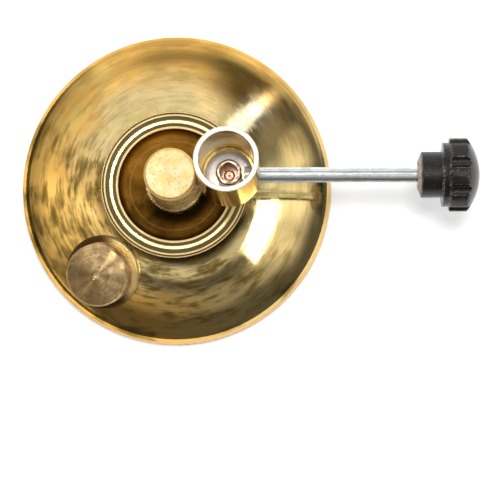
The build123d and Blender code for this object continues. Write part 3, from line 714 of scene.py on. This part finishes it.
def cotton():
    """The wick: soft twisted yarn with a nap and darker hollows."""
    fibre_height, fibre_scales = 0.05 * mm, (3000.0, 3000.0, 500.0)
    material, nodes = new_material("cotton")
    fibres = nodes.noise(nodes.vector("MULTIPLY", nodes.place(), fibre_scales), detail=4.0)
    surface(nodes, {
        "Base Color": nodes.mottled(fibres, cotton_white, cotton_shade),
        "Roughness": 0.95,
        "Sheen Weight": 0.3,
        "Normal": nodes.bump(fibres, fibre_height),
    })
    return material


def seal(name, colour, roughness):
    """A pressed seal: mottled, with a fine grain."""
    grain_height, darker_share = 0.02 * mm, 0.5
    material, nodes = new_material(name)
    grain = nodes.noise(nodes.place(), 1800.0, detail=4.0)
    darker = tuple(channel * darker_share for channel in colour)
    surface(nodes, {
        "Base Color": nodes.mottled(grain, colour, darker),
        "Roughness": roughness,
        "Normal": nodes.bump(grain, grain_height),
    })
    return material


tank_brass = spun_brass()
# The riser and its collar are painted lighter on their lit side, as painted light.
riser_brass = turned_brass(
    "riser_brass", tank_axis, riser_gold, riser_orange, brass_umber,
    smear=(1.5, 420.0), roughness=0.30, metallic=0.8, lit_towards=riser_lit_direction,
)
collar_brass = turned_brass(
    "collar_brass", tank_axis, brass_pale, collar_brown, brass_umber,
    dark_share=0.8, roughness=0.25, edge_radius=1.8 * mm, lit_towards=riser_lit_direction,
)
holder_brass = turned_brass(
    "holder_brass", flame_axis, holder_pale, holder_brown, brass_brown,
    smear=(1.5, 1300.0), dark_share=0.8, roughness=0.3, brushed=0.2,
)
rod_brass = turned_brass("rod_brass", rod_axis, brass_pale, brass_gold, brass_olive)
# Painted highlight: the nut is painted nearly white, so that it reads as bright as the sleeve's floor around
# it.
nut_brass = turned_brass("nut_brass", rod_axis, glare_white, glare_cream, braze_grey, metallic=0.3)
bridge_brass = turned_brass("bridge_brass", rod_axis, brass_gold, brass_orange, brass_brown, dark_share=0.7)
tube_brass = flame_brass()
jet_copper = copper()
braze = braze_metal()

node_materials = {
    "tank_shell": tank_brass,
    "base_plate": tank_brass,
    "filler_boss": boss_brass(),
    "filler_cap": cap_brass(),
    "preheat_bowl": bowl_brass(),
    "riser_socket": riser_brass,
    "riser_collar": collar_brass,
    "riser_tube": riser_brass,
    "riser_cap": cast_brass(),
    "wick_guide": riser_brass,
    "vapour_bridge": bridge_brass,
    "burner_body": tube_brass,
    "flame_tube": tube_brass,
    "jet_holder": holder_brass,
    "air_sleeve": sleeve_brass(),
    "rod_nut": nut_brass,
    "knob_insert": rod_brass,
    "jet": jet_copper,
    "jet_washer": jet_copper,
    "adjusting_rod": zinc_steel(),
    "knob": phenolic(),
    "socket_gasket": seal("fibre_seal", fibre_red, roughness=0.8),
    "cap_gasket": seal("rubber_seal", rubber_black, roughness=0.6),
}
for node, material in node_materials.items():
    for slot in frame["nodes"][node].material_slots:
        slot.material = material


# Pieces made here
def skin(name, rings, material):
    """A closed smooth mesh over rings of as many points each."""
    count = len(rings[0])
    points = [point for ring in rings for point in ring]
    faces = []
    for level in range(len(rings) - 1):
        low, high = level * count, (level + 1) * count
        for index in range(count):
            following = (index + 1) % count
            faces.append((low + index, low + following, high + following, high + index))
    faces.append(tuple(reversed(range(count))))
    faces.append(tuple(range(len(points) - count, len(points))))
    mesh = bpy.data.meshes.new(name)
    mesh.from_pydata(points, [], faces)
    mesh.shade_smooth()
    mesh.materials.append(material)
    piece = bpy.data.objects.new(name, mesh)
    bpy.context.scene.collection.objects.link(piece)
    return piece


def riser_wall(y):
    """Where the riser's wall is along X, on the flame tube's side."""
    return riser_radius * cos(asin(y / riser_radius))


def flame_wall(y):
    """Where the flame tube's wall is along X, on the riser's side."""
    return flame_x - flame_radius * cos(asin(y / flame_radius))


def along_wall(wall, start, end, height, count):
    """Points along a tube's wall, from one Y to another."""
    points = []
    for step in range(count):
        y = start + (end - start) * step / (count - 1)
        points.append(Vector((wall(y), y, height)))
    return points


def hollow_between(start, end, sink, count):
    """The points between two others, on a curve that sinks along Y from their straight line."""
    points = []
    for step in range(1, count):
        share = step / count
        point = start.lerp(end, share)
        point.y -= sink * sin(pi * share)
        points.append(point)
    return points


def braze_fillet():
    """Irregular braze in the two valleys between the riser and the flame tube, fullest in the middle."""
    low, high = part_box("braze_joint")
    levels, wall_points, hollow_points = 26, 10, 9
    front_reach, back_reach, end_reach = 6.6 * mm, 5.0 * mm, 1.2 * mm
    waver, waver_length, waver_spread = 0.9 * mm, 1.6 * mm, 7.0
    hollow_share = 0.1925
    rings = []
    for level in range(levels):
        share = level / (levels - 1)
        height = low.z + (high.z - low.z) * share
        swell = sin(pi * share) ** 0.5
        reaches = []
        for side, reach in ((-1, front_reach), (1, back_reach)):
            shake = noise.noise(Vector((side * waver_spread, height / waver_length, 0)))
            reaches.append(side * (end_reach + (reach - end_reach) * swell + waver * shake * swell))
        front, back = reaches
        on_riser = along_wall(riser_wall, back, front, height, wall_points)
        on_flame = along_wall(flame_wall, front, back, height, wall_points)
        front_valley = hollow_between(on_riser[-1], on_flame[0], front * hollow_share, hollow_points)
        back_valley = hollow_between(on_flame[-1], on_riser[0], back * hollow_share, hollow_points)
        rings.append([*on_riser, *front_valley, *on_flame, *back_valley])
    return skin("braze_fillet", rings, braze)


def twisted_wick():
    """Seven twisted cotton strands, six of them laid round the middle one."""
    low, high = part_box("wick")
    outer_strands = 6
    bundle_radius = (high.x - low.x) / 2
    strand_radius = bundle_radius / 3
    levels, ring_points, plies = 70, 24, 3
    lay, ply_lay, ply_depth_share = 95 * mm, 9 * mm, 0.08
    material = cotton()
    strands = []
    for strand in range(outer_strands + 1):
        circle = 0 if strand == outer_strands else bundle_radius - strand_radius
        rings = []
        for level in range(levels):
            height = low.z + (high.z - low.z) * level / (levels - 1)
            turn = 2 * pi * (strand / outer_strands + height / lay)
            centre = Vector((circle * cos(turn), circle * sin(turn), height))
            ring = []
            for index in range(ring_points):
                angle = 2 * pi * index / ring_points
                ply = cos(plies * (angle - 2 * pi * height / ply_lay))
                radius = strand_radius * (1 - ply_depth_share + ply_depth_share * ply)
                ring.append(centre + radius * Vector((cos(angle), sin(angle), 0)))
            rings.append(ring)
        strands.append(skin("wick_strand_%d" % strand, rings, material))
    return strands


fillet = braze_fillet()
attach(fillet, "lamp")
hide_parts("braze_joint")

for strand in twisted_wick():
    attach(strand, "lamp")
    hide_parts("wick")


# Studio: white floor, three softboxes, and a dim tent with soft panels and one long strip lamp
def floor():
    """A wide white sheet, just below the lamp's foot, that glows a little where it is seen or mirrored."""
    reach, drop, glow_strength = 6.0, 0.02 * mm, 0.26
    corners = [(-reach, -reach, 0), (reach, -reach, 0), (reach, reach, 0), (-reach, reach, 0)]
    mesh = bpy.data.meshes.new("floor")
    mesh.from_pydata(corners, [], [(0, 1, 2, 3)])
    material, nodes = new_material("floor")
    rays = nodes.add("LightPath").outputs
    seen = nodes.maths("MAXIMUM", rays["Is Camera Ray"], rays["Is Glossy Ray"])
    seen = nodes.maths("MAXIMUM", seen, rays["Is Transmission Ray"])
    paper = nodes.add("BsdfDiffuse", {"Color": paper_grey})
    glow = nodes.add("Emission", {"Color": lamp_white, "Strength": nodes.product(seen, glow_strength)})
    both = nodes.add("AddShader")
    nodes.put(both.inputs[0], paper.outputs[0])
    nodes.put(both.inputs[1], glow.outputs[0])
    nodes.add("OutputMaterial", {"Surface": both.outputs[0]})
    mesh.materials.append(material)
    plane = bpy.data.objects.new("floor", mesh)
    plane.location.z = -drop
    bpy.context.scene.collection.objects.link(plane)


def softbox(name, corners, strength, mirrored=True):
    """A glowing panel over the lamp. Its corners are shares of its height, from above the tank's middle.
    mirrored says whether the brass reflects it."""
    height = 1.3
    points = [(x * height, y * height, height) for x, y in corners]
    mesh = bpy.data.meshes.new(name)
    mesh.from_pydata(points, [], [tuple(range(len(points)))])
    material, nodes = new_material(name)
    glow = nodes.add("Emission", {"Color": lamp_white, "Strength": strength})
    nodes.add("OutputMaterial", {"Surface": glow.outputs[0]})
    mesh.materials.append(material)
    panel = bpy.data.objects.new(name, mesh)
    panel.visible_camera = False
    panel.visible_glossy = mirrored
    bpy.context.scene.collection.objects.link(panel)


def round_corners(centre, radius, count=12):
    """The corners of a panel that is nearly round."""
    turns = [2 * pi * index / count for index in range(count)]
    return [(centre[0] + radius * cos(turn), centre[1] + radius * sin(turn)) for turn in turns]


def strip_glow(nodes, towards):
    """A long soft strip lamp, running away from above the tank and growing wider and weaker. Its places,
    along it and across it, are shares of its height."""
    strip_direction, cross_direction, cross_offset = (0.669, 0.743, 0), (0.743, -0.669, 0), 0.106
    starts_from, full_from, weakens_from, weak_from = 0.22, 0.32, 0.35, 1.30
    narrow_at, wide_at, narrow_width, wide_width = 0.25, 1.3, 0.028, 0.075
    strong, weak, softness = 4.2, 0.5, 1.8
    horizon_rise, clear_rise = 0.2, 0.4
    rise = nodes.vector("DOT_PRODUCT", towards, up)
    along = nodes.maths("DIVIDE", nodes.vector("DOT_PRODUCT", towards, strip_direction), rise)
    aside = nodes.maths("DIVIDE", nodes.vector("DOT_PRODUCT", towards, cross_direction), rise)
    offset = nodes.maths("ABSOLUTE", nodes.maths("ADD", aside, cross_offset))
    width = nodes.fade(along, narrow_at, wide_at, narrow_width, wide_width)
    inside = nodes.fade(nodes.maths("DIVIDE", offset, width), 0.0, softness, 1.0, 0.0)
    starts = nodes.fade(along, starts_from, full_from)
    weakens = nodes.fade(along, weakens_from, weak_from, strong, weak)
    above = nodes.fade(rise, horizon_rise, clear_rise)
    return nodes.product(inside, inside, starts, weakens, above)


def passing(nodes, angle, edge, softness, at_low, at_high):
    """Goes from at_low to at_high where an angle passes an edge. The edge and softness are in degrees."""
    return nodes.fade(angle, radians(edge - softness), radians(edge + softness), at_low, at_high)


def tent():
    """World light by direction: dim all round, with soft panels and the strip lamp."""
    dim = 0.13
    # Each panel's compass angle, half its width, how soft its sides are, where it starts and where it ends,
    # counted from the top, how soft its ends are, and its strength. All but the strength are degrees.
    panels = (
        (131, 52, 12, 13, 44, 6, 0.80),
        (146, 36, 10, 42, 56, 6, 0.55),
        (104, 24, 8, 40, 54, 6, 0.28),
        (95, 34, 14, 54, 90, 4, 0.85),
        (46, 22, 12, 53, 90, 4, 0.75),
        (76, 12, 8, 14, 30, 6, 0.45),
        (44, 6, 4, 22, 40, 5, 0.20),
        (29, 9, 3, 30, 47, 4, 0.45),
        (28, 12, 6, 10, 22, 4, 0.25),
        (15, 17, 8, 16, 43, 5, 0.70),
        (-8, 20, 12, 20, 40, 5, 0.85),
        (-30, 16, 8, 24, 35, 5, 0.35),
        (-178, 16, 8, 12, 46, 6, 0.55),
        (-164, 10, 6, 30, 52, 5, 0.40),
        (-140, 24, 12, 14, 30, 6, 0.25),
        (-145, 12, 8, 50, 62, 5, 0.90),
        (-100, 68, 12, 20, 33, 5, 0.26),
        (-90, 90, 10, 6, 13, 2, 0.60),
    )
    world = bpy.data.worlds.new("tent")
    world.use_nodes = True
    bpy.context.scene.world = world
    nodes = Nodes(world.node_tree)
    towards = nodes.add("TexCoord").outputs["Generated"]
    from_top = nodes.maths("ARCCOSINE", nodes.vector("DOT_PRODUCT", towards, up))
    flat = nodes.vector("NORMALIZE", nodes.vector("MULTIPLY", towards, (1, 1, 0)))
    light = dim
    for compass, half_width, side_softness, start, end, end_softness, strength in panels:
        facing = (cos(radians(compass)), sin(radians(compass)), 0)
        aside = nodes.maths("ARCCOSINE", nodes.vector("DOT_PRODUCT", flat, facing))
        sides = passing(nodes, aside, half_width, side_softness, 1, 0)
        begins = passing(nodes, from_top, start, end_softness, 0, 1)
        ends = passing(nodes, from_top, end, end_softness, 1, 0)
        light = nodes.maths("ADD", light, nodes.product(sides, begins, ends, strength))
    light = nodes.maths("ADD", light, strip_glow(nodes, towards))
    shown = nodes.maths("MAXIMUM", light, nodes.add("LightPath").outputs["Is Camera Ray"])
    background = nodes.add("Background", {"Color": lamp_white, "Strength": shown})
    nodes.add("OutputWorld", {"Surface": background.outputs[0]})


top_centre, top_radius = (-0.050, 0.118), 0.079
top_corners = round_corners(top_centre, top_radius)
shadow_corners = ((-0.03, -0.04), (0.13, -0.04), (0.13, 0.12), (-0.03, 0.12))
side_corners = ((0.215, 0.105), (0.34, 0.104), (0.481, 0.036), (0.372, -0.288), (0.195, -0.114))
top_strength, shadow_strength, side_strength = 16.0, 82.0, 6.0

floor()
softbox("top_softbox", top_corners, top_strength)
softbox("shadow_softbox", shadow_corners, shadow_strength, mirrored=False)
softbox("side_softbox", side_corners, side_strength)
tent()

# Camera, looking down from just in front of the lamp, as fitted to the photograph
camera_place = Vector((45.419, -105.388, 893.522)) * mm
camera_compass, camera_tilt, camera_roll = radians(10.31), radians(5.24), radians(-10.24)
sensor_width_mm, lens_mm, clip_start = 36.0, 152.81, 0.05
camera = bpy.data.objects.new("camera", bpy.data.cameras.new("camera"))
camera.data.sensor_width = sensor_width_mm
camera.data.lens = lens_mm
camera.data.clip_start = clip_start
camera.matrix_world = (
    Matrix.Translation(camera_place)
    @ Matrix.Rotation(camera_compass, 4, "Z")
    @ Matrix.Rotation(camera_tilt, 4, "X")
    @ Matrix.Rotation(camera_roll, 4, "Z")
)
bpy.context.scene.collection.objects.link(camera)
bpy.context.scene.camera = camera
bpy.context.scene.view_settings.view_transform = "Standard"
